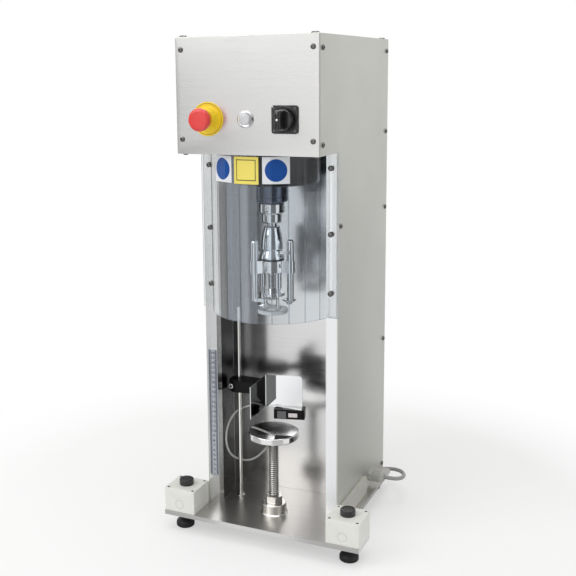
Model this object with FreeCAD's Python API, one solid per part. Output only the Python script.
"""Bench-top bottle capping machine: a sheet-steel column with a closed head, a bowed clear guard,
a four-roller capping head on a sliding quill, a bottle platform on a threaded post, a bottle
locator with a sensor, two start buttons and levelling feet.

Millimetres, +X to the operator's right, +Y to the rear, +Z up. The origin is on the floor,
midway between the front of the emergency button and the rear panel.
"""
import FreeCAD, Part
import math
import os

Vec = FreeCAD.Vector
UP = Vec(0, 0, 1)
RIGHT = Vec(1, 0, 0)
BACK = Vec(0, 1, 0)

# General clearances
running_gap = 0.05      # radial, between a turning or sliding part and its bore
body_gap = 0.3          # between faces of bodies that move past each other
sheet = 2.0             # sheet of panels and covers
panel_joint = 1.2       # open joint between the head's front and the side panels
liner_sheet = 1.5       # sheet of the channel liner

# Column and head
column_width = 270.0
column_depth = 298.0
column_height = 910.0   # above the base plate
head_height = 204.0
head_overhang = 97.0    # head front ahead of the column front
post_width = 21.0
post_return = 19.0
post_wall = 2.5
channel_depth = 121.5   # column front to the face of the back wall
channel_half_width = column_width / 2 - 20.0
seam_depth = 78.0       # joint in the side walls of the channel, behind the column front
seam_width = 1.2
seam_cut = 0.8

# Base plate
plate_thick = 8.0
plate_front_width = 400.0
plate_rear_width = 304.0
plate_front_lip = 68.0  # front edge ahead of the column front
plate_step = 3.0        # rear edge of the wide strip, ahead of the column front
plate_corner = 3.0

# Levelling feet
foot_height = 32.0      # floor to the underside of the plate
foot_pad_radius = 18.0
foot_pad_rim = 10.0
foot_neck_radius = 9.0
foot_neck_height = 20.0
foot_stud_short = 1.0   # stud end below the top of the plate
foot_stud_radius = 5.0
foot_nut_height = 6.0
foot_nut_flats = 17.0
front_foot_x = plate_front_width / 2 - 29.0
front_foot_set = 36.0   # ahead of the column front
rear_foot_x = plate_rear_width / 2 - 35.0
rear_foot_inset = 22.0  # ahead of the rear panel

# Capping axis
axis_set = 14.0         # behind the column front

# Emergency button, pilot light and rotary switch
control_height = 62.0   # above the bottom of the head, all three
estop_x = -72.5
estop_disc_radius = 30.0
estop_disc_thick = 2.0
estop_collar_radius = 21.0
estop_collar_height = 16.0
estop_reach = 40.0      # front of the button ahead of the head panel
estop_head_radius = 20.0
estop_head_thick = 16.0
estop_travel = 4.0
estop_stem_radius = 8.0
estop_socket = 30.0     # behind the panel
pilot_radius = 14.8
pilot_height = 4.5
lens_radius = 9.0
lens_height = 7.5
switch_x = 73.5
switch_plate_side = 48.0
switch_plate_thick = 3.5
switch_corner = 4.0
knob_radius = 19.0
knob_base_height = 12.0
knob_height = 33.0
knob_grip_width = 12.0
knob_stem_radius = 4.0

# Guard
guard_thick = 3.0
guard_radius = column_width / 2 - 17.0
guard_centre_set = 27.0  # centre of the bow behind the column front
guard_half_width = column_width / 2 + 1.5
guard_bottom = 405.0     # above the base plate
guard_screw_inset = 14.0
guard_screw_drops = (28.0, 147.0, 256.0)  # below the top of the guard

# Quill, its guide and its drive
guide_flange_radius = 88.0
guide_flange_drop = 58.0  # flange below the head floor
guide_tube_radius = 40.0
guide_tube_height = 40.0  # above the head floor
quill_radius = 30.0
quill_below = 94.0        # quill below the head floor
quill_above = 104.0
quill_stroke = 60.0
shaft_radius = 12.0
motor_radius = 42.0
motor_top_gap = 18.0      # under the top cover
motor_height = head_height - 2 * sheet - quill_above - motor_top_gap
motor_flange_height = 8.0
rack_width = 12.0
rack_depth = 9.0
rack_bottom = 30.0        # above the guide tube
rack_height = 92.0
gear_module = 2.0
gear_teeth = 16
gear_width = 12.0
gear_backlash = 0.6
lift_case_width = 44.0
lift_case_depth = 54.0
lift_case_height = 130.0
lift_motor_radius = 24.0
lift_motor_length = 62.0

# Capping head, drops are below the bottom of the quill
nut_ring_radius = 23.7
nut_ring_drop = 2.0
nut_ring_height = 19.0
neck_radius = 17.0
neck_height = 19.0
cone_gap = 7.0
cone_top_radius = 14.0
cone_flare_radius = 18.5
cone_base_radius = 23.0
cone_height = 61.0
cone_flare_height = 17.0
cone_base_height = 4.0
head_stroke = 6.0
stem_radius = 9.0
hub_radius = 28.5
hub_height = 23.0
hub_screw_turn = 32.0     # screw holes in the rim, from each arm
hub_screw_radius = 2.4
hub_screw_depth = 4.0
lug_radius = 9.0
lug_circle = 38.0
arm_phase = -35.0         # first arm, from the front towards the right
arm_count = 3
arm_shaft_radius = 5.0
arm_tube_radius = 7.0
arm_top_height = 39.0     # above the hub
arm_bottom_drop = 53.0    # below the hub
cam_lever_base = 12.5     # underside above the hub
cam_lever_thick = 6.0
cam_nose_radius = 5.0
cam_nose_turn = -20.0     # from its shaft round the axis
roller_circle = 31.5
roller_turn = 29.0        # from its shaft round the axis
roller_lever_thick = 6.0
roller_radius = 13.0
roller_hub_radius = 6.5
roller_height = 9.0
roller_rim = 1.6
roller_pin_radius = 3.0
rod_circle = 19.5
rod_phase = 54.0          # first push rod, from the front towards the right
rod_count = 3
rod_radius = 2.5
pad_radius = 24.0
pad_thick = 6.0
pad_drop = 40.0           # below the hub
pad_nose_radius = 12.0
pad_nose_height = 8.0
ring_radius = 29.0
ring_bore = 16.6
ring_height = 8.0
ring_drop = 72.0          # top of the centring ring below the hub

# Bottle platform
boss_radius = 24.0
boss_height = 20.0
post_thread_radius = 9.6
post_foot_gap = 2.0       # post above the underside of the plate
lock_nut_flats = 30.0
lock_nut_height = 14.0
platform_top = 166.3      # above the base plate
platform_thick = 13.5
platform_radius = 49.0
platform_hub_radius = 14.0
platform_hub_height = 6.0
platform_edge = 1.0

# Locator rod, clamp, plate and sensor
rod_x = 44.0 - column_width / 2  # 44 inside the left side
rod_set = 55.0            # behind the column front
guide_rod_radius = 4.0
guide_rod_top = 394.0     # above the base plate
rod_collar_radius = 8.0
rod_collar_height = 10.0
clamp_bottom = 223.0      # above the base plate
clamp_height = 24.0
clamp_round = 20.0
clamp_end_round = 16.0
clamp_slit = 2.0
clamp_screw_radius = 5.0
clamp_screw_head = 5.0
bar_side = 13.0
bar_length = 82.0
bar_hold = 42.0           # plate corner to the middle of the clamp's end
bar_turn = 143.13         # bar direction from the plate corner, from +X towards the rear
corner_x = rod_x + 67.0
corner_set = 32.0         # behind the column front
wing_sheet = 1.5
wing_bottom = 206.5       # above the base plate
wing_height = 62.5
left_wing_length = 79.0
left_wing_turn = -87.0    # from +X, negative towards the front
right_wing_length = 72.0
right_wing_turn = 15.3
wing_round = 8.0
flange_width = 18.0
corner_block = 16.0
sensor_length = 60.0
sensor_depth = 24.0
sensor_height = 19.0
sensor_inset = 18.0

# Button boxes
box_width = 65.0
box_depth = 63.0
box_height = 46.5
box_set = 65.5            # box front ahead of the column front
box_wall = 2.5
box_lid = 9.0
box_corner = 2.0
knockout_radius = 8.8
knockout_height = 16.0    # above the base plate
knockout_groove = 0.6
lid_screw_inset = 6.0
lid_screw_radius = 3.0
bezel_radius = 14.2
bezel_height = 11.5
bezel_bore = 11.0
bezel_sleeve = 12.0       # below the lid's top
button_height = 11.0      # above the lid
button_travel = 4.0
button_stem_radius = 5.0
button_stem_length = 14.0

# Ducts, gland and cords
duct_thick = 7.0
duct_height = 38.0
duct_end = 165.0          # rear end behind the column front
gland_set = 204.0         # behind the column front
gland_height = 22.0       # above the base plate
gland_hex = 24.0
gland_hex_length = 7.0
gland_radius = 12.0
gland_length = 24.0
mains_radius = 4.0
grommet_x = rod_x + 38.0
grommet_height = 90.0     # above the base plate
grommet_radius = 6.0
grommet_length = 5.0
sensor_cord_radius = 2.0
coil_mean_radius = 44.0
coil_columns = 2
coil_layers = 3
coil_x = -20.0
coil_set = 370.0          # behind the column front
plug_radius = 17.0
plug_length = 34.0
plug_neck_length = 24.0
tail_length = 12.0        # lead between the coil and the plug
pin_radius = 2.4
pin_length = 19.0
pin_spacing = 19.0

# Cover screws
screw_head_radius = 5.0
screw_head_height = 2.8
screw_shank_radius = 2.5
screw_shank_length = 4.0
panel_screw_inset = 11.0
side_screw_low = (15.0, 293.0, 573.0)  # rear screws below the head, above the base plate
side_screw_head = 19.0    # above the bottom of the head
lift_step = 2.5           # rear screw above its front neighbour
side_screw_top = 23.5     # below the top cover
front_fold = 28.0         # edge of the front panel folded back inside the sides
rear_fold = 20.0          # edge of the rear panel folded in
guard_side_screw = 13.0   # side screw behind the column front

# Derived places
front_y = (head_overhang + estop_reach - column_depth) / 2
rear_y = front_y + column_depth
head_front_y = front_y - head_overhang
plate_top = foot_height + plate_thick
column_top = plate_top + column_height
head_bottom = column_top - head_height
axis_y = front_y + axis_set
half_width = column_width / 2
inner_half = half_width - sheet
control_z = head_bottom + control_height
floor_underside = head_bottom
floor_top = head_bottom + sheet
back_wall_y = front_y + channel_depth


def box(x0, x1, y0, y1, z0, z1):
    """A block between two values on each axis, in either order."""
    low = Vec(min(x0, x1), min(y0, y1), min(z0, z1))
    return Part.makeBox(abs(x1 - x0), abs(y1 - y0), abs(z1 - z0), low)


def rod(radius, length, start, direction=UP):
    return Part.makeCylinder(radius, length, start, direction)


def tube(outer, inner, length, start, direction=UP):
    return rod(outer, length, start, direction).cut(rod(inner, length, start, direction))


def plate_of(points, z0, height):
    """A straight-sided plan extruded upwards from z0."""
    wire = Part.makePolygon([Vec(x, y, z0) for x, y in points + points[:1]])
    return Part.Face(wire).extrude(Vec(0, 0, height))


def turned(profile, centre, direction=UP):
    """A solid of revolution from (radius, height) pairs along direction."""
    points = [Vec(r, 0, h) for r, h in profile]
    face = Part.Face(Part.makePolygon(points + points[:1]))
    solid = face.revolve(Vec(0, 0, 0), UP, 360)
    turn = FreeCAD.Rotation(UP, direction)
    solid.Placement = FreeCAD.Placement(centre, turn)
    return solid


def hexagon(flats, height, centre, direction=UP):
    corner = flats / math.sqrt(3)
    points = [Vec(corner * math.cos(math.radians(60 * i)), corner * math.sin(math.radians(60 * i)), 0)
              for i in range(7)]
    solid = Part.Face(Part.makePolygon(points)).extrude(Vec(0, 0, height))
    solid.Placement = FreeCAD.Placement(centre, FreeCAD.Rotation(UP, direction))
    return solid


def mirrored(shape):
    return shape.mirror(Vec(0, 0, 0), RIGHT)


def joined(shapes):
    return shapes[0].fuse(shapes[1:]).removeSplitter()


def upright_edges(shape, corners):
    """The vertical edges of a shape that stand at the given plan corners."""
    found = []
    for edge in shape.Edges:
        a, b = edge.Vertexes[0].Point, edge.Vertexes[-1].Point
        upright = abs(a.x - b.x) < 1e-6 and abs(a.y - b.y) < 1e-6
        if upright and any(abs(a.x - x) < 0.01 and abs(a.y - y) < 0.01 for x, y in corners):
            found.append(edge)
    return found


def around_axis(radius, angle, z):
    """A point at a radius from the capping axis; the angle runs from the front to the right."""
    turn = math.radians(angle)
    return Vec(radius * math.sin(turn), axis_y - radius * math.cos(turn), z)


def base_plate():
    """The T-shaped plate with holes for the feet, and the welded boss of the platform post."""
    front = front_y - plate_front_lip
    step = front_y - plate_step
    wide = plate_front_width / 2
    narrow = plate_rear_width / 2
    outline = [(-wide, front), (wide, front), (wide, step), (narrow, step), (narrow, rear_y),
               (-narrow, rear_y), (-narrow, step), (-wide, step)]
    plate = plate_of(outline, foot_height, plate_thick)
    corners = [(x, y) for x, y in outline if not (abs(x) == narrow and y == step)]
    plate = plate.makeFillet(plate_corner, upright_edges(plate, corners))
    for x, y in foot_places():
        plate = plate.cut(rod(foot_stud_radius + running_gap, plate_thick, Vec(x, y, foot_height)))
    post_hole = rod(post_thread_radius + running_gap, plate_thick, Vec(0, axis_y, foot_height))
    return joined([plate.cut(post_hole), post_boss()])


def post_boss():
    bore = post_thread_radius + running_gap
    top = boss_height
    return turned([(bore, 0), (boss_radius, 0), (boss_radius, top - 1.5), (boss_radius - 1.5, top), (bore, top)],
                  Vec(0, axis_y, plate_top))


def foot_places():
    front = front_y - front_foot_set
    rear = rear_y - rear_foot_inset
    return [(-front_foot_x, front), (front_foot_x, front), (-rear_foot_x, rear), (rear_foot_x, rear)]


def levelling_foot(x, y):
    """A rubber-footed pad on its stud, with the nut that locks it under the plate."""
    pad = turned([(0, 0), (foot_pad_radius - 2, 0), (foot_pad_radius, 2), (foot_pad_radius, foot_pad_rim),
                  (foot_pad_radius - 4, foot_pad_rim + 5), (foot_neck_radius, foot_neck_height),
                  (0, foot_neck_height)], Vec(x, y, 0))
    stud = rod(foot_stud_radius, plate_top - foot_stud_short - foot_neck_height, Vec(x, y, foot_neck_height))
    nut = hexagon(foot_nut_flats, foot_nut_height, Vec(x, y, foot_height - foot_nut_height - body_gap))
    return joined([pad, stud, nut])


def front_post(side):
    """A folded channel: front flange, inner return and outer leg, from the plate to the top cover."""
    outer = inner_half
    inner = inner_half - post_width
    height = column_height - sheet
    body = box(inner, outer, front_y, front_y + post_return, plate_top, plate_top + height)
    hollow = box(inner + post_wall, outer - post_wall, front_y + post_wall, front_y + post_return + 1,
                 plate_top - 1, plate_top + height + 1)
    post = body.cut(hollow)
    for drop in guard_screw_drops:
        z = head_bottom - drop
        start = Vec(half_width - guard_screw_inset, front_y - 1, z)
        post = post.cut(rod(screw_shank_radius, post_wall + 2, start, BACK))
    for y, z in side_screw_places():
        if y < front_y + post_return and z < head_bottom:
            post = post.cut(rod(screw_shank_radius, post_wall + 2, Vec(inner_half + 1, y, z), RIGHT * -1))
    return post if side > 0 else mirrored(post)


def side_panel(side):
    """One sheet for the column and the overhang of the head."""
    points = [(front_y, plate_top), (rear_y - sheet, plate_top), (rear_y - sheet, column_top - sheet),
              (head_front_y + sheet + panel_joint, column_top - sheet),
              (head_front_y + sheet + panel_joint, head_bottom), (front_y, head_bottom)]
    wire = Part.makePolygon([Vec(inner_half, y, z) for y, z in points + points[:1]])
    panel = Part.Face(wire).extrude(Vec(sheet, 0, 0))
    for y, z in side_screw_places():
        panel = panel.cut(rod(screw_shank_radius, sheet + 2, Vec(inner_half - 1, y, z), RIGHT))
    if side < 0:
        return mirrored(panel)
    gland_y = front_y + gland_set
    gland_z = plate_top + gland_height
    return panel.cut(rod(gland_radius * 0.7, sheet + 2, Vec(inner_half - 1, gland_y, gland_z), RIGHT))


def side_screw_places():
    rear = rear_y - panel_screw_inset
    upper, lower = column_top - side_screw_top, head_bottom + side_screw_head
    heights = [plate_top + h for h in side_screw_low] + [lower + lift_step, upper]
    places = [(rear, z) for z in heights]
    front = head_front_y + panel_screw_inset + 3 * sheet
    places += [(front, upper), (front, lower), (front_y + guard_side_screw, plate_top + side_screw_low[-1])]
    return places


def top_screw_places():
    """Four screws near the corners of the top cover."""
    x = half_width - panel_screw_inset
    front, rear = head_front_y + panel_screw_inset, rear_y - panel_screw_inset
    return [(side * x, y) for side in (-1, 1) for y in (front, rear)]


def rear_panel():
    """The rear cover, with folded edges that take its screws."""
    skin = box(-half_width, half_width, rear_y - sheet, rear_y, plate_top, column_top - sheet)
    fold = box(inner_half - sheet, inner_half, rear_y - sheet - rear_fold, rear_y - sheet,
               plate_top, column_top - sheet)
    cover = joined([skin, fold, mirrored(fold)])
    for y, z in side_screw_places():
        if y > rear_y - rear_fold - sheet / 2:
            cover = cover.cut(rod(screw_shank_radius, column_width + 2, Vec(-half_width - 1, y, z), RIGHT))
    return cover


def top_cover():
    """The lid of the head, with a shallow fold down inside the side panels."""
    skin = box(-half_width, half_width, head_front_y, rear_y, column_top - sheet, column_top)
    edges = [e for e in skin.Edges if abs(e.CenterOfMass.z - column_top) < 1e-6]
    cover = skin.makeFillet(sheet * 0.4, edges)
    for x, y in top_screw_places():
        cover = cover.cut(rod(screw_shank_radius, 2 * sheet, Vec(x, y, column_top - 1.5 * sheet)))
    return cover


def front_panel():
    """The head's front, folded back at both sides behind the side panels."""
    skin = box(-half_width, half_width, head_front_y, head_front_y + sheet,
               head_bottom, column_top - sheet)
    fold = box(inner_half - sheet, inner_half, head_front_y + sheet, head_front_y + sheet + front_fold,
               floor_top, column_top - sheet)
    panel = joined([skin, fold, mirrored(fold)])
    edges = upright_edges(panel, [(-half_width, head_front_y), (half_width, head_front_y)])
    panel = panel.makeFillet(sheet * 0.6, edges)
    holes = [(estop_x, estop_stem_radius + 1), (0.0, lens_radius), (switch_x, knob_stem_radius + 1)]
    for x, radius in holes:
        panel = panel.cut(rod(radius, sheet + 2, Vec(x, head_front_y - 1, control_z), BACK))
    for y, z in side_screw_places()[5:7]:
        panel = panel.cut(rod(screw_shank_radius, column_width, Vec(-half_width, y, z), RIGHT))
    for x, z in front_screw_places():
        panel = panel.cut(rod(screw_shank_radius, sheet + 2, Vec(x, head_front_y - 1, z), BACK))
    return panel


def front_screw_places():
    return [(side * (half_width - panel_screw_inset), z)
            for side in (-1, 1) for z in (column_top - 22.0, head_bottom + 26.0)]


def head_floor():
    """The floor of the head over the channel, with the hole for the quill guide."""
    front = head_front_y + sheet
    rear = back_wall_y + liner_sheet
    width = inner_half
    post_back = front_y + post_return
    skin = box(-width, width, front, rear, floor_underside, floor_top)
    for side in (-1, 1):
        post = box(side * (inner_half - post_width), side * inner_half, front_y, post_back,
                   floor_underside, floor_top)
        skin = skin.cut(post)
    for x, y in top_screw_places():
        if y < front_y:
            skin = skin.cut(rod(screw_shank_radius, 2 * sheet, Vec(x, y, floor_underside - sheet / 2)))
    return skin.cut(rod(guide_tube_radius, sheet, Vec(0, axis_y, floor_underside)))


def channel_liner():
    """The bent sheet behind the bottle: back wall and two side walls with a lapped seam."""
    outer = channel_half_width + liner_sheet
    front = front_y + post_return
    top = floor_underside
    shell = box(-outer, outer, front, back_wall_y + liner_sheet, plate_top, top)
    room = box(-channel_half_width, channel_half_width, front - 1, back_wall_y, plate_top - 1, top + 1)
    shell = shell.cut(room)
    seam_y = front_y + seam_depth
    groove = box(channel_half_width - 1, channel_half_width + seam_cut, seam_y, seam_y + seam_width,
                 plate_top, top)
    shell = shell.cut(groove).cut(mirrored(groove))
    hole = rod(grommet_radius - 2, liner_sheet + 2, Vec(grommet_x, back_wall_y - 1, plate_top + grommet_height),
               BACK)
    return shell.cut(hole)


def guard():
    """A bowed clear sheet with flat flanges on the two posts."""
    top = head_bottom - body_gap
    bottom = plate_top + guard_bottom
    height = top - bottom
    centre = Vec(0, front_y + guard_centre_set, bottom)
    bow = tube(guard_radius, guard_radius - guard_thick, height, centre)
    face = front_y - guard_thick
    bow = bow.common(box(-guard_radius, guard_radius, centre.y - guard_radius - 1, front_y, bottom, top))
    reach = math.sqrt((guard_radius - guard_thick) ** 2 - guard_centre_set ** 2)
    flange = box(reach, guard_half_width, face, front_y, bottom, top)
    inner = rod(guard_radius - guard_thick, height, centre)
    flange = flange.cut(inner)
    shell = joined([bow, flange, mirrored(flange)])
    for x, z in guard_screw_places():
        shell = shell.cut(rod(screw_shank_radius, guard_thick + 2, Vec(x, face - 1, z), BACK))
    return shell


def guard_screw_places():
    x = half_width - guard_screw_inset
    return [(side * x, head_bottom - drop) for side in (-1, 1) for drop in guard_screw_drops]


def dome_screw(face_point, inward):
    """A button-head screw whose head stands on a face, with its shank inwards."""
    height = screw_head_height
    head = turned([(0, 0), (screw_head_radius, 0), (screw_head_radius * 0.85, height * 0.6),
                   (screw_head_radius * 0.5, height), (0, height)], face_point, inward * -1)
    shank = rod(screw_shank_radius, screw_shank_length, face_point, inward)
    return head.fuse(shank)


def cover_screws():
    """All dome screws of panels, guard and top cover, as separate solids."""
    screws = []
    for y, z in side_screw_places():
        screws.append(dome_screw(Vec(half_width, y, z), RIGHT * -1))
        screws.append(dome_screw(Vec(-half_width, y, z), RIGHT))
    for x, z in front_screw_places():
        screws.append(dome_screw(Vec(x, head_front_y, z), BACK))
    for x, z in guard_screw_places():
        screws.append(dome_screw(Vec(x, front_y - guard_thick, z), BACK))
    for x, y in top_screw_places():
        screws.append(dome_screw(Vec(x, y, column_top), UP * -1))
        if y < front_y:
            screws.append(dome_screw(Vec(x, y, floor_underside), UP))
    return Part.makeCompound(screws)


def estop_base():
    """The round plate and the collar of the emergency button."""
    centre = Vec(estop_x, head_front_y, control_z)
    forward = BACK * -1
    bore = estop_stem_radius + running_gap
    body = turned([(bore, 0), (estop_disc_radius, 0), (estop_disc_radius, estop_disc_thick),
                   (estop_collar_radius, estop_disc_thick), (estop_collar_radius - 3, estop_collar_height),
                   (bore, estop_collar_height)], centre, forward)
    socket = tube(estop_stem_radius + 1, bore, estop_socket, centre, BACK)
    return joined([body, socket])


def estop_button():
    """The mushroom button with its stem in the collar."""
    forward = BACK * -1
    centre = Vec(estop_x, head_front_y, control_z)
    back = estop_reach - estop_head_thick
    head = turned([(0, back), (estop_head_radius - 6, back), (estop_head_radius, back + 6),
                   (estop_head_radius, back + 10), (estop_head_radius - 2, back + 14),
                   (estop_head_radius - 5, estop_reach), (0, estop_reach)], centre, forward)
    stem = rod(estop_stem_radius, back + 20, centre + BACK * 20, forward)
    return joined([head, stem])


def pilot_light():
    """The sealed pilot light: a bevelled bezel, a domed lens and the barrel behind the panel."""
    centre = Vec(0, head_front_y, control_z)
    barrel = 30.0
    return turned([(0, -barrel), (lens_radius, -barrel), (lens_radius, 0), (pilot_radius, 0), (pilot_radius, 2.5),
                   (pilot_radius - 2, pilot_height), (lens_radius, pilot_height), (lens_radius - 1, lens_height - 1),
                   (lens_radius - 4, lens_height), (0, lens_height)], centre, BACK * -1)


def switch_plate():
    half = switch_plate_side / 2
    plate = box(switch_x - half, switch_x + half, head_front_y - switch_plate_thick, head_front_y,
                control_z - half, control_z + half)
    edges = [e for e in plate.Edges if abs(e.BoundBox.YLength - switch_plate_thick) < 1e-6]
    plate = plate.makeFillet(switch_corner, edges)
    case_half = half - 4
    case = box(switch_x - case_half, switch_x + case_half, head_front_y + sheet, head_front_y + 45,
               control_z - case_half, control_z + case_half)
    neck = rod(knob_stem_radius + 1, sheet, Vec(switch_x, head_front_y, control_z), BACK)
    bore = rod(knob_stem_radius + running_gap, 60, Vec(switch_x, head_front_y - 10, control_z), BACK)
    return joined([plate, neck, case]).cut(bore)


def switch_knob():
    """The round knob with its raised grip, and the stem that turns the switch."""
    centre = Vec(switch_x, head_front_y - switch_plate_thick - body_gap, control_z)
    forward = BACK * -1
    round_base = turned([(0, 0), (knob_radius, 0), (knob_radius - 1.5, knob_base_height), (0, knob_base_height)],
                        centre, forward)
    half = knob_grip_width / 2
    reach = knob_radius - 2
    front = centre.y - knob_height
    grip = box(switch_x - half, switch_x + half, front, centre.y, control_z - reach, control_z + reach)
    edges = [e for e in grip.Edges if abs(e.CenterOfMass.y - front) < 1e-6]
    grip = grip.makeFillet(2.5, edges)
    stem = rod(knob_stem_radius, 30, centre, BACK)
    return joined([round_base, grip, stem])


def guide_housing():
    """The black flange under the head floor and the tube above it, bored for the quill."""
    bottom = floor_underside - guide_flange_drop
    bore = quill_radius + running_gap
    rim = guide_flange_radius
    profile = [(bore, bottom), (rim - 3, bottom), (rim, bottom + 3), (rim, floor_underside),
               (guide_tube_radius, floor_underside), (guide_tube_radius, floor_top + guide_tube_height),
               (bore, floor_top + guide_tube_height)]
    return turned(profile, Vec(0, axis_y, 0))


def quill():
    """The sliding sleeve that carries the spindle, with a chamfered nose."""
    bottom = floor_underside - quill_below
    top = floor_top + quill_above
    bore = shaft_radius + running_gap
    profile = [(bore, bottom), (quill_radius - 2, bottom), (quill_radius, bottom + 2), (quill_radius, top),
               (bore, top)]
    return turned(profile, Vec(0, axis_y, 0))


def rack_back():
    """Y of the pitch line of the rack."""
    return axis_y + motor_radius + 4 + rack_depth


def spindle_motor():
    """The motor on top of the quill, with the flange that holds the rack behind it."""
    base = floor_top + quill_above
    flange_end = rack_back() - 2 * gear_module
    flange = joined([rod(motor_radius, motor_flange_height, Vec(0, axis_y, base)),
                     box(-rack_width / 2, rack_width / 2, axis_y, flange_end, base, base + motor_flange_height)])
    can = turned([(0, motor_flange_height), (motor_radius - 2, motor_flange_height),
                  (motor_radius - 2, motor_height - 6), (motor_radius - 8, motor_height), (0, motor_height)],
                 Vec(0, axis_y, base))
    low = floor_top + guide_tube_height + rack_bottom
    bar = box(-rack_width / 2, rack_width / 2, axis_y + motor_radius + 1, rack_back() - 1.25 * gear_module,
              low, low + rack_height)
    pitch = math.pi * gear_module
    teeth = [bar, flange, can]
    middle = pinion_centre().z
    below = int((middle - low - pitch / 4) / pitch)
    above = int((low + rack_height - middle - pitch / 4) / pitch)
    for i in range(-below, above + 1):
        teeth.append(rack_tooth(middle + i * pitch))
    motor = joined(teeth)
    return motor.cut(rod(shaft_radius + running_gap, 30, Vec(0, axis_y, base - 1)))


def rack_tooth(z):
    """A trapezium tooth, thinner than half a pitch by the backlash."""
    half = math.pi * gear_module / 4 - gear_backlash / 2
    slope = math.tan(math.radians(20))
    root = rack_back() - 1.25 * gear_module
    tip = rack_back() + gear_module * 0.8
    wide = half + 1.25 * gear_module * slope
    thin = half - 0.8 * gear_module * slope
    points = [(root, z - wide), (tip, z - thin), (tip, z + thin), (root, z + wide)]
    wire = Part.makePolygon([Vec(-rack_width / 2, y, h) for y, h in points + points[:1]])
    return Part.Face(wire).extrude(Vec(rack_width, 0, 0))


def pinion_centre():
    """Where the pinion keeps the rack in mesh from the top to the bottom of its stroke."""
    low = floor_top + guide_tube_height + rack_bottom
    return Vec(0, rack_back() + gear_module * gear_teeth / 2, low + rack_height / 2 - quill_stroke / 2)


def lift_pinion():
    """The pinion that drives the rack, on the output shaft of the lift gearbox."""
    centre = pinion_centre()
    pitch_radius = gear_module * gear_teeth / 2
    root = pitch_radius - 1.25 * gear_module
    tip = pitch_radius + gear_module * 0.8
    half = math.pi * gear_module / 4 - gear_backlash / 2
    slope = math.tan(math.radians(20))
    gear = rod(root, gear_width, centre - RIGHT * (gear_width / 2), RIGHT)
    wide = half + 1.25 * gear_module * slope
    thin = half - 0.8 * gear_module * slope
    parts = [gear]
    for i in range(gear_teeth):
        points = [(root - 1, -wide), (tip, -thin), (tip, thin), (root - 1, wide)]
        wire = Part.makePolygon([Vec(-gear_width / 2, y, z) for y, z in points + points[:1]])
        tooth = Part.Face(wire).extrude(Vec(gear_width, 0, 0))
        tooth.rotate(Vec(0, 0, 0), RIGHT, 180 + 360.0 / gear_teeth * (i + 0.5))
        tooth.translate(centre)
        parts.append(tooth)
    shaft = rod(6.0, gear_width / 2 + 24, centre, RIGHT)
    return joined(parts + [shaft])


def lift_motor():
    """The gearbox on the head floor beside the pinion, and its motor lying behind."""
    centre = pinion_centre()
    left = gear_width / 2 + 3
    right = left + lift_case_width
    case = box(left, right, centre.y - lift_case_depth / 2, centre.y + lift_case_depth / 2,
               floor_top, floor_top + lift_case_height)
    case = case.makeFillet(4.0, [e for e in case.Edges if e.BoundBox.ZLength > lift_case_height - 1])
    can = rod(lift_motor_radius, lift_motor_length,
              Vec((left + right) / 2, centre.y + lift_case_depth / 2, floor_top + lift_motor_radius + 4), BACK)
    bore = rod(6.0 + running_gap, 30, Vec(left - 1, centre.y, centre.z), RIGHT)
    return joined([case, can]).cut(bore)


quill_bottom = floor_underside - quill_below
hub_top = quill_bottom - nut_ring_drop - nut_ring_height - neck_height - cone_gap - cone_height
hub_bottom = hub_top - hub_height


def spindle():
    """The turning shaft: in the quill, then the slotted nut ring, the neck and the stem to the hub."""
    top = floor_top + quill_above + 20
    ring_top = quill_bottom - nut_ring_drop
    ring_bottom = ring_top - nut_ring_height
    neck_bottom = ring_bottom - neck_height
    profile = [(0, hub_bottom - 6), (stem_radius, hub_bottom - 6), (stem_radius, neck_bottom),
               (neck_radius - 1, neck_bottom), (neck_radius, neck_bottom + 1), (neck_radius, ring_bottom),
               (nut_ring_radius - 1.5, ring_bottom), (nut_ring_radius, ring_bottom + 1.5),
               (nut_ring_radius, ring_top - 1.5), (nut_ring_radius - 1.5, ring_top),
               (shaft_radius, ring_top), (shaft_radius, top), (0, top)]
    body = turned(profile, Vec(0, axis_y, 0))
    for i in range(4):
        slot = box(-2.5, 2.5, -nut_ring_radius - 1, -nut_ring_radius + 2.2, ring_bottom + 5, ring_top - 5)
        slot.rotate(Vec(0, 0, 0), UP, 90 * i + 45)
        slot.translate(Vec(0, axis_y, 0))
        body = body.cut(slot)
    return body


def head_cone():
    """The cam cone that slides on the stem, flared where the noses of the arms ride."""
    base = hub_top + body_gap
    bore = stem_radius + running_gap
    profile = [(bore, base), (cone_base_radius, base), (cone_base_radius, base + cone_base_height),
               (cone_flare_radius, base + cone_flare_height), (cone_top_radius, base + cone_height - 1),
               (cone_top_radius - 1, base + cone_height - body_gap), (bore, base + cone_height - body_gap)]
    cone = turned(profile, Vec(0, axis_y, 0))
    for angle in rod_angles():
        cone = cone.cut(rod(rod_radius, push_rod_top() - base + 1, around_axis(rod_circle, angle, base - 1)))
    return cone


def rod_angles():
    return [rod_phase + i * 360.0 / rod_count for i in range(rod_count)]


def push_rod_top():
    """The push rods end inside the base of the cone."""
    return hub_top + body_gap + cone_base_height


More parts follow.
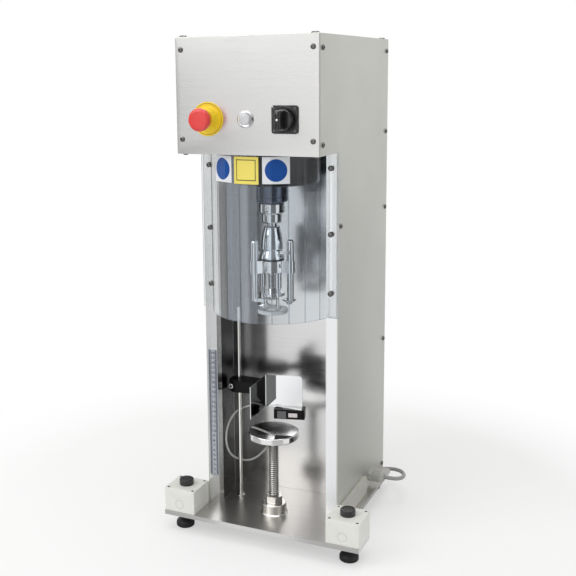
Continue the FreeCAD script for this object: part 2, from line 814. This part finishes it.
def head_hub():
    """The spider: a ring with a bored lug for each arm shaft and a hole for each push rod."""
    body = rod(hub_radius, hub_height, Vec(0, axis_y, hub_bottom))
    edges = [e for e in body.Edges if e.BoundBox.ZLength < 1e-6]
    body = body.makeChamfer(0.8, edges)
    parts = [body]
    for k in range(arm_count):
        centre = around_axis(lug_circle, arm_angle(k), hub_bottom)
        lug = rod(lug_radius, hub_height, centre)
        web = box(-lug_radius, lug_radius, -lug_circle, 0, hub_bottom, hub_top)
        web.rotate(Vec(0, 0, 0), UP, arm_angle(k))
        web.translate(Vec(0, axis_y, 0))
        parts += [lug, web]
    hub = joined(parts)
    for k in range(arm_count):
        centre = around_axis(lug_circle, arm_angle(k), hub_bottom - 1)
        hub = hub.cut(rod(arm_shaft_radius + running_gap, hub_height + 2, centre))
    for angle in rod_angles():
        hub = hub.cut(rod(rod_radius + running_gap, hub_height + 2, around_axis(rod_circle, angle, hub_bottom - 1)))
    for k in range(arm_count):
        for turn in (hub_screw_turn, 360.0 / arm_count - hub_screw_turn):
            start = around_axis(hub_radius + 1, arm_angle(k) + turn, (hub_top + hub_bottom) / 2)
            inward = around_axis(0, 0, start.z) - start
            hub = hub.cut(rod(hub_screw_radius, hub_screw_depth, start, inward))
    return hub.cut(rod(stem_radius, hub_height + 2, Vec(0, axis_y, hub_bottom - 1)))


def arm_angle(k):
    return arm_phase + k * 360.0 / arm_count


def cam_nose_circle():
    """Radius of the nose centres, one running gap outside the cone."""
    base = hub_top + body_gap
    lowest = hub_top + cam_lever_base
    rise = (lowest - base - cone_base_height) / (cone_flare_height - cone_base_height)
    cone_here = cone_base_radius + (cone_flare_radius - cone_base_radius) * rise
    return cone_here + cam_nose_radius + 2 * running_gap


def lever(start, end, r_start, r_end, z, thick):
    """A flat lever with round ends."""
    along = end - start
    length = along.Length
    turn = math.degrees(math.atan2(along.y, along.x))
    lean = math.asin((r_start - r_end) / length)
    c, s = math.cos(lean), math.sin(lean)
    sides = [(r_start * s, r_start * c), (length + r_end * s, r_end * c),
             (length + r_end * s, -r_end * c), (r_start * s, -r_start * c)]
    web = plate_of(sides, 0, thick)
    shape = joined([web, rod(r_start, thick, Vec(0, 0, 0)), rod(r_end, thick, Vec(length, 0, 0))])
    shape.rotate(Vec(0, 0, 0), UP, turn)
    shape.translate(Vec(start.x, start.y, z))
    return shape


def roller_arm(k):
    """A shaft through the hub, with a cam lever above and a roller lever below."""
    angle = arm_angle(k)
    foot = around_axis(lug_circle, angle, 0)
    low = hub_bottom - arm_bottom_drop
    shaft = rod(arm_shaft_radius, hub_height + 2, Vec(foot.x, foot.y, hub_bottom - 1))
    top = turned([(0, 0), (arm_tube_radius, 0), (arm_tube_radius, arm_top_height - 5),
                  (arm_tube_radius - 1.5, arm_top_height - 1.5), (arm_tube_radius - 4, arm_top_height),
                  (0, arm_top_height)], Vec(foot.x, foot.y, hub_top + body_gap))
    lower = rod(arm_tube_radius - 0.6, arm_bottom_drop - body_gap, Vec(foot.x, foot.y, low))
    nose = around_axis(cam_nose_circle(), angle + cam_nose_turn, 0)
    cam = lever(foot, nose, arm_tube_radius, cam_nose_radius, hub_top + cam_lever_base, cam_lever_thick)
    pin_place = around_axis(roller_circle, angle + roller_turn, 0)
    holder = lever(foot, pin_place, arm_tube_radius - 0.6, 5.0, low, roller_lever_thick)
    pin_length = roller_height + 3 * body_gap + 1.5
    pin = rod(roller_pin_radius, pin_length, Vec(pin_place.x, pin_place.y, low - pin_length))
    cap = rod(roller_pin_radius + 1.6, 1.5, Vec(pin_place.x, pin_place.y, low - pin_length))
    return joined([shaft, top, lower, cam, holder, pin, cap])


def form_roller(k):
    """A thin-rimmed steel roller on the pin of its arm."""
    place = around_axis(roller_circle, arm_angle(k) + roller_turn, 0)
    top = hub_bottom - arm_bottom_drop - body_gap
    bottom = top - roller_height
    bore = roller_pin_radius + running_gap
    rim_mid = (top + bottom) / 2 + (1.0 if k % 2 else -1.0)
    profile = [(bore, bottom), (roller_hub_radius, bottom), (roller_hub_radius, rim_mid - 2.5),
               (roller_radius, rim_mid - roller_rim / 2), (roller_radius, rim_mid + roller_rim / 2),
               (roller_hub_radius, rim_mid + 2.5), (roller_hub_radius, top), (bore, top)]
    return turned(profile, place)


def pressure_plate():
    """The push rods with the plate that presses on the cap."""
    top = push_rod_top()
    bottom = hub_bottom - ring_drop - ring_height + 2
    parts = []
    for angle in rod_angles():
        parts.append(rod(rod_radius, top - bottom, around_axis(rod_circle, angle, bottom)))
    base = hub_bottom - pad_drop - pad_thick
    profile = [(0, base - pad_nose_height), (pad_nose_radius - 2, base - pad_nose_height),
               (pad_nose_radius, base - pad_nose_height + 2), (pad_nose_radius, base),
               (pad_radius, base), (pad_radius, base + pad_thick), (0, base + pad_thick)]
    plate = turned(profile, Vec(0, axis_y, 0))
    return joined([plate] + parts)


def centring_ring():
    """The ring that guides the cap in, at the ends of the push rods."""
    top = hub_bottom - ring_drop
    bottom = top - ring_height
    profile = [(ring_bore, bottom + 4), (ring_bore + 3, bottom), (ring_radius - 1, bottom),
               (ring_radius, bottom + 1), (ring_radius, top - 1), (ring_radius - 1, top), (ring_bore, top)]
    ring = turned(profile, Vec(0, axis_y, 0))
    for angle in rod_angles():
        ring = ring.cut(rod(rod_radius, ring_height, around_axis(rod_circle, angle, bottom + 2)))
    return ring


def lock_nut():
    base = plate_top + boss_height + body_gap
    nut = hexagon(lock_nut_flats, lock_nut_height, Vec(0, axis_y, base))
    corner = lock_nut_flats / math.sqrt(3)
    bevel = turned([(0, 0), (corner - 1.5, 0), (corner, 1.5), (corner, lock_nut_height - 1.5),
                    (corner - 1.5, lock_nut_height), (0, lock_nut_height)], Vec(0, axis_y, base))
    return nut.common(bevel).cut(rod(post_thread_radius + running_gap, 40, Vec(0, axis_y, base - 1)))


def threaded_post():
    start = foot_height + post_foot_gap
    end = plate_top + platform_top - platform_thick
    return rod(post_thread_radius, end - start, Vec(0, axis_y, start))


def platform():
    """The bottle disc with its hub."""
    top = platform_top
    under = top - platform_thick
    edge = platform_edge
    bore = post_thread_radius
    profile = [(0, under), (bore, under), (bore, under - platform_hub_height),
               (platform_hub_radius - 2, under - platform_hub_height), (platform_hub_radius, under),
               (platform_radius - edge, under), (platform_radius, under + edge),
               (platform_radius, top - edge), (platform_radius - edge, top), (0, top)]
    return turned(profile, Vec(0, axis_y, plate_top))


def rod_place():
    return rod_x, front_y + rod_set


def guide_rod():
    """The upright rod of the locator with its foot collar."""
    x, y = rod_place()
    top = plate_top + guide_rod_top
    tip = turned([(0, plate_top), (rod_collar_radius, plate_top), (rod_collar_radius, plate_top + rod_collar_height - 1),
                  (rod_collar_radius - 1, plate_top + rod_collar_height), (guide_rod_radius, plate_top + rod_collar_height),
                  (guide_rod_radius, top - 1), (guide_rod_radius - 1, top), (0, top)], Vec(x, y, 0))
    return tip


def bar_direction():
    turn = math.radians(bar_turn)
    return Vec(math.cos(turn), math.sin(turn), 0)


def plate_corner_point():
    return Vec(corner_x, front_y + corner_set, 0)


def bar_block(side, start, end, z):
    """A square bar along the bar direction from the plate corner."""
    half = side / 2
    bar = box(start, end, -half, half, z - half, z + half)
    bar.rotate(Vec(0, 0, 0), UP, bar_turn)
    bar.translate(plate_corner_point())
    return bar


def clamp_middle():
    return plate_top + clamp_bottom + clamp_height / 2


def locator_clamp():
    """The black clamp on the rod: round at the rod, with a square hole for the bar at its other end."""
    x, y = rod_place()
    base = plate_top + clamp_bottom
    end = plate_corner_point() + bar_direction() * bar_hold
    body = lever(Vec(x, y, 0), Vec(end.x, end.y, 0), clamp_round, clamp_end_round, base, clamp_height)
    edges = [e for e in body.Edges if e.BoundBox.ZLength < 1e-6]
    body = body.makeFillet(2.0, edges)
    body = body.cut(rod(guide_rod_radius + running_gap, clamp_height + 2, Vec(x, y, base - 1)))
    slit = box(x - clamp_round - 1, x, y - clamp_slit / 2, y + clamp_slit / 2, base - 1, base + clamp_height + 1)
    body = body.cut(slit)
    hole = bar_block(bar_side + 2 * running_gap, bar_hold - 40, bar_hold + 60, clamp_middle())
    body = body.cut(hole)
    screw_x = x - clamp_round / 2
    face = y - math.sqrt(clamp_round ** 2 - (clamp_round / 2) ** 2) + 2.0
    seat = rod(clamp_screw_radius + 1, 20, Vec(screw_x, face, clamp_middle()), BACK * -1)
    body = body.cut(seat)
    head = turned([(0, 0), (clamp_screw_radius, 0), (clamp_screw_radius, clamp_screw_head - 0.6),
                   (clamp_screw_radius - 0.6, clamp_screw_head), (2.6, clamp_screw_head), (2.6, 1.5), (0, 1.5)],
                  Vec(screw_x, face, clamp_middle()), BACK * -1)
    return Part.makeCompound([body, head])


def wing(length, turn, rounded):
    """One wing of the locator plate, standing on the plate corner."""
    base = plate_top + wing_bottom
    sheet_body = box(0, length, 0, wing_sheet if turn > 0 else -wing_sheet, base, base + wing_height)
    if rounded:
        edges = [e for e in sheet_body.Edges
                 if abs(e.BoundBox.YLength - wing_sheet) < 1e-6 and e.BoundBox.XMin > length - 0.01
                 and e.BoundBox.ZMin > base + 1]
        sheet_body = sheet_body.makeFillet(wing_round, edges)
    sheet_body.rotate(Vec(0, 0, 0), UP, turn)
    sheet_body.translate(plate_corner_point())
    return sheet_body


def wing_side(along, across):
    """A plan point beside the right wing; across is towards the front."""
    turn = math.radians(right_wing_turn)
    corner = plate_corner_point()
    return (corner.x + along * math.cos(turn) + across * math.sin(turn),
            corner.y + along * math.sin(turn) - across * math.cos(turn))


def locator_plate():
    """The polished V plate with the tapered flange over the sensor."""
    base = plate_top + wing_bottom
    right = wing(right_wing_length, right_wing_turn, True)
    left = wing(left_wing_length, left_wing_turn, False)
    flange = plate_of([wing_side(0, 0), wing_side(right_wing_length, flange_width),
                       wing_side(right_wing_length, -wing_sheet), wing_side(0, -wing_sheet)], base, wing_sheet)
    return joined([right, left, flange])


def locator_bar():
    """The square bar that carries the plate through the clamp, with its end block."""
    z = clamp_middle()
    bar = bar_block(bar_side, 0, bar_length, z)
    ends = locator_plate()
    block = bar_block(bar_side + 3, -corner_block, corner_block * 0.6, z)
    solid = joined([bar, block])
    corner = plate_corner_point()
    reach = 60.0
    left = math.radians(left_wing_turn)
    right = math.radians(right_wing_turn)
    front = [(corner.x, corner.y), (corner.x + reach * math.cos(left), corner.y + reach * math.sin(left)),
             (corner.x + reach, corner.y - reach),
             (corner.x + reach * math.cos(right), corner.y + reach * math.sin(right))]
    solid = solid.cut(plate_of(front, z - 30, 60))
    return solid.cut(ends)


def locator_sensor():
    """The sensor block under the flange of the right wing, with its lens window."""
    top = plate_top + wing_bottom
    start = sensor_inset
    points = [wing_side(start, flange_width), wing_side(start + sensor_length, flange_width),
              wing_side(start + sensor_length, flange_width - sensor_depth),
              wing_side(start, flange_width - sensor_depth)]
    body = plate_of(points, top - sensor_height, sensor_height)
    body = body.makeFillet(1.5, [e for e in body.Edges if e.BoundBox.ZLength > sensor_height - 0.1])
    window = plate_of([wing_side(start + 28, flange_width + 1), wing_side(start + 46, flange_width + 1),
                       wing_side(start + 46, flange_width - 0.8), wing_side(start + 28, flange_width - 0.8)],
                      top - sensor_height + 4, 9.0)
    return body.cut(window)


def button_box(side):
    """A moulded box with a hollow inside and a knock-out ring on its front."""
    x1 = plate_front_width / 2
    x0 = x1 - box_width
    y0 = front_y - box_set
    y1 = y0 + box_depth
    top = plate_top + box_height - box_lid
    body = box(x0, x1, y0, y1, plate_top, top)
    body = body.makeFillet(box_corner, upright_edges(body, [(x0, y0), (x1, y0), (x0, y1), (x1, y1)]))
    hollow = box(x0 + box_wall, x1 - box_wall, y0 + box_wall, y1 - box_wall, plate_top + box_wall, top + 1)
    body = body.cut(hollow)
    centre = Vec((x0 + x1) / 2, y0 - 1, plate_top + knockout_height)
    groove = tube(knockout_radius, knockout_radius - knockout_groove, 1 + knockout_groove, centre, BACK)
    body = body.cut(groove)
    return body if side > 0 else mirrored(body)


def box_centre():
    return plate_front_width / 2 - box_width / 2, front_y - box_set + box_depth / 2


def box_lids():
    """Both lids, with the holes of the buttons."""
    x, y = box_centre()
    top = plate_top + box_height
    x0, x1 = x - box_width / 2, x + box_width / 2
    y0, y1 = y - box_depth / 2, y + box_depth / 2
    lid = box(x0, x1, y0, y1, top - box_lid, top)
    lid = lid.makeFillet(box_corner, upright_edges(lid, [(x0, y0), (x1, y0), (x0, y1), (x1, y1)]))
    edges = [e for e in lid.Edges if e.BoundBox.ZMin > top - 1e-6]
    lid = lid.makeFillet(1.0, edges)
    room = box(x0 + box_wall, x1 - box_wall, y0 + box_wall, y1 - box_wall, top - box_lid - 1, top - box_wall)
    lid = lid.cut(room).cut(rod(bezel_bore, 20, Vec(x, y, top - 10)))
    dx = box_width / 2 - lid_screw_inset
    dy = box_depth / 2 - lid_screw_inset
    for sx in (-1, 1):
        for sy in (-1, 1):
            lid = lid.cut(rod(lid_screw_radius, 1.2, Vec(x + sx * dx, y + sy * dy, top - 1.2)))
    return Part.makeCompound([lid, mirrored(lid)])


def button_bezels():
    """The black rings round the start buttons, with their sleeves inside the lid."""
    x, y = box_centre()
    top = plate_top + box_height
    bore = bezel_bore - 1.5
    profile = [(bore, -bezel_sleeve), (bezel_bore, -bezel_sleeve), (bezel_bore, 0), (bezel_radius, 0), (bezel_radius, bezel_height - 1.5),
               (bezel_radius - 1.5, bezel_height), (bore, bezel_height)]
    ring = turned(profile, Vec(x, y, top))
    return Part.makeCompound([ring, mirrored(ring)])


def start_button(side):
    x, y = box_centre()
    radius = bezel_bore - 1.5 - running_gap
    base = plate_top + box_height
    profile = [(0, -10), (radius, -10), (radius, button_height - 2), (radius - 2, button_height), (0, button_height)]
    stem = rod(button_stem_radius, button_stem_length, Vec(x, y, base - 10 - button_stem_length))
    body = joined([turned(profile, Vec(x, y, base)), stem])
    return body if side > 0 else mirrored(body)


def cable_ducts():
    """A low duct along the foot of each side panel, rounded at its rear end."""
    y0 = front_y - box_set + box_depth
    y1 = front_y + duct_end
    duct = box(half_width, half_width + duct_thick, y0, y1, plate_top, plate_top + duct_height)
    top_rear = [e for e in duct.Edges if abs(e.BoundBox.XLength - duct_thick) < 1e-6
                and e.CenterOfMass.z > plate_top + 1 and e.CenterOfMass.y > y0 + 1]
    duct = duct.makeFillet(10.0, top_rear)
    return Part.makeCompound([duct, mirrored(duct)])


def cable_gland():
    """The mains gland: a hexagon body, a ribbed dome nut and the thread inside the panel."""
    centre = Vec(half_width, front_y + gland_set, plate_top + gland_height)
    flange = hexagon(gland_hex, gland_hex_length, centre, RIGHT)
    start = gland_hex_length
    end = start + gland_length
    nut = turned([(0, start), (gland_radius, start), (gland_radius, end - 7), (gland_radius - 4, end), (0, end)],
                 centre, RIGHT)
    ribs = []
    for i in range(12):
        turn = math.radians(30 * i)
        at = centre + RIGHT * start + Vec(0, math.cos(turn), math.sin(turn)) * gland_radius
        ribs.append(rod(1.0, gland_length - 8, at, RIGHT))
    thread = rod(gland_radius * 0.7, 14, centre - RIGHT * 14, RIGHT)
    body = joined([flange, nut, thread] + ribs)
    return body.cut(rod(mains_radius, gland_length + 60, centre - RIGHT * 20, RIGHT))


def wall_grommet():
    centre = Vec(grommet_x, back_wall_y, plate_top + grommet_height)
    forward = BACK * -1
    profile = [(sensor_cord_radius, -6), (grommet_radius - 2, -6), (grommet_radius - 2, 0), (grommet_radius, 0),
               (grommet_radius - 1.5, grommet_length), (sensor_cord_radius, grommet_length)]
    return turned(profile, centre, forward)


def mains_route():
    """The lead from the gland, round behind the machine and down to the coil; Y from the column front."""
    exit_x = half_width + gland_hex_length + gland_length
    bends = [(0, 0, 62), (15, 1, 61), (27, 11, 58.5), (31, 29, 55), (28, 50, 51), (19, 71, 47), (6, 89, 42),
             (-13, 105, 36), (-37, 114, 28), (-63, 118, 19), (-90, 119.5, 10.5), (-118, 119, 5), (-148, 118, 4),
             (-164, 118, 4)]
    return [Vec(exit_x + x, front_y + gland_set + y, z) for x, y, z in bends]


def sensor_exit():
    x, y = wing_side(sensor_inset + 4, flange_width - sensor_depth)
    return Vec(x, y, plate_top + wing_bottom - sensor_height / 2)


def sensor_start():
    """The lead's first bend, straight out from the back of the sensor."""
    x, y = wing_side(sensor_inset + 4, flange_width - sensor_depth - 14)
    return Vec(x, y, sensor_exit().z)


def sensor_route():
    """The sensor lead, round behind the rod, down in a loop and into the back wall."""
    bends = [(61, 10, -1), (44, 15, -3), (25, 14, -6.5), (7, 11, -11.5), (-7, 7, -19), (-15, -2, -29),
             (-18, -13, -39), (-19, -24, -54), (-18.5, -28, -73), (-17.5, -23, -93), (-15.5, -9, -112),
             (-7.5, 11, -127), (7, 24, -132), (21, 33, -126), (31, 43, -116)]
    start = Vec(rod_x, front_y + rod_set, sensor_exit().z)
    last = Vec(grommet_x, back_wall_y - grommet_length, plate_top + grommet_height)
    before = Vec(grommet_x, last.y - 9, last.z)
    return [sensor_exit(), sensor_start()] + [start + Vec(*bend) for bend in bends] + [before, last]


def cord_tube(name, route, radius):
    """A tube along straight runs joined by tangent arcs; prints the arcs' radii."""
    edges = []
    at = route[0]
    radii = []
    for before, corner, after in zip(route, route[1:], route[2:]):
        into = (corner - before).normalize()
        out = (after - corner).normalize()
        turn = into.getAngle(out)
        shorter = min((corner - before).Length, (after - corner).Length)
        back = 0.45 * shorter
        radii.append(back / math.tan(turn / 2))
        start = corner - into * back
        end = corner + out * back
        bisector = (out - into).normalize()
        middle = corner + bisector * (radii[-1] / math.cos(turn / 2) - radii[-1])
        edges.append(Part.LineSegment(at, start).toShape())
        edges.append(Part.Arc(start, middle, end).toShape())
        at = end
    edges.append(Part.LineSegment(at, route[-1]).toShape())
    path = Part.Wire(edges)
    first = (route[1] - route[0]).normalize()
    section = Part.Wire(Part.makeCircle(radius, route[0], first))
    solid = path.makePipeShell([section], True, False)
    length = path.Length
    share = solid.Volume / (math.pi * radius ** 2 * length)
    print(name, "length", round(length, 1), "radii", [round(r, 1) for r in radii], "volume share", round(share, 4))
    return solid


def coil_centre():
    return Vec(coil_x, front_y + coil_set, 0)


def coil_band():
    """Half the width of the coil across its columns of turns."""
    return coil_columns * mains_radius


def mains_cable():
    """The lead up to the coil, and its last stretch from the coil to the plug."""
    lead = cord_tube("mains_cable", mains_route(), mains_radius)
    turn_radius = coil_mean_radius + coil_band() - mains_radius
    start = coil_centre() + Vec(coil_tail(), turn_radius, plug_radius)
    return Part.makeCompound([lead, rod(mains_radius, tail_length, start, RIGHT)])


def coil_tail():
    """How far along +X the turn's centre line leaves the outside of the coil."""
    outer = coil_mean_radius + coil_band()
    return math.sqrt(outer ** 2 - (outer - mains_radius) ** 2)


def mains_coil():
    """The wound rest of the lead, as one ring on the floor."""
    band = coil_band()
    return tube(coil_mean_radius + band, coil_mean_radius - band, 2 * mains_radius * coil_layers, coil_centre())


def mains_plug():
    """A moulded round plug with a tapered strain relief and two pins."""
    start = coil_centre() + Vec(coil_tail() + tail_length, coil_mean_radius + coil_band() - mains_radius, plug_radius)
    neck = plug_neck_length
    body = turned([(0, 0), (mains_radius + 1, 0), (mains_radius + 3, neck), (plug_radius - 3, neck + 6),
                   (plug_radius, neck + 14), (plug_radius, neck + plug_length), (0, neck + plug_length)],
                  start, RIGHT)
    parts = [body]
    for side in (-1, 1):
        at = start + Vec(neck + plug_length, side * pin_spacing / 2, 0)
        parts.append(rod(pin_radius, pin_length, at, RIGHT))
    return joined(parts)


def sensor_cable():
    return cord_tube("sensor_cable", sensor_route(), sensor_cord_radius)


def all_parts():
    parts = {
        "base_plate": base_plate(), "post_left": front_post(-1), "post_right": front_post(1),
        "side_panel_left": side_panel(-1), "side_panel_right": side_panel(1), "rear_panel": rear_panel(),
        "top_cover": top_cover(), "front_panel": front_panel(), "head_floor": head_floor(),
        "channel_liner": channel_liner(), "guard": guard(), "cover_screws": cover_screws(),
        "estop_base": estop_base(), "estop_button": estop_button(), "pilot_light": pilot_light(),
        "switch_plate": switch_plate(), "switch_knob": switch_knob(),
        "guide_housing": guide_housing(), "quill": quill(), "spindle_motor": spindle_motor(),
        "lift_pinion": lift_pinion(), "lift_motor": lift_motor(), "spindle": spindle(),
        "head_cone": head_cone(), "head_hub": head_hub(), "pressure_plate": pressure_plate(),
        "centring_ring": centring_ring(), "lock_nut": lock_nut(),
        "threaded_post": threaded_post(), "platform": platform(), "guide_rod": guide_rod(),
        "locator_clamp": locator_clamp(), "locator_plate": locator_plate(), "locator_bar": locator_bar(),
        "locator_sensor": locator_sensor(), "button_box_left": button_box(-1), "button_box_right": button_box(1),
        "box_lids": box_lids(), "button_bezels": button_bezels(), "start_button_left": start_button(-1),
        "start_button_right": start_button(1), "cable_ducts": cable_ducts(), "cable_gland": cable_gland(),
        "wall_grommet": wall_grommet(), "mains_cable": mains_cable(), "mains_coil": mains_coil(),
        "mains_plug": mains_plug(), "sensor_cable": sensor_cable(),
    }
    for k in range(arm_count):
        parts[f"roller_arm_{k + 1}"] = roller_arm(k)
        parts[f"form_roller_{k + 1}"] = form_roller(k)
    return parts


def main():
    os.makedirs("parts", exist_ok=True)
    parts = all_parts()
    for name, (x, y) in zip(("foot_front_left", "foot_front_right", "foot_rear_left", "foot_rear_right"),
                            foot_places()):
        parts[name] = levelling_foot(x, y)
    for name, shape in parts.items():
        shape.exportStep(f"parts/{name}.step")
    print(len(parts), "parts")


main()
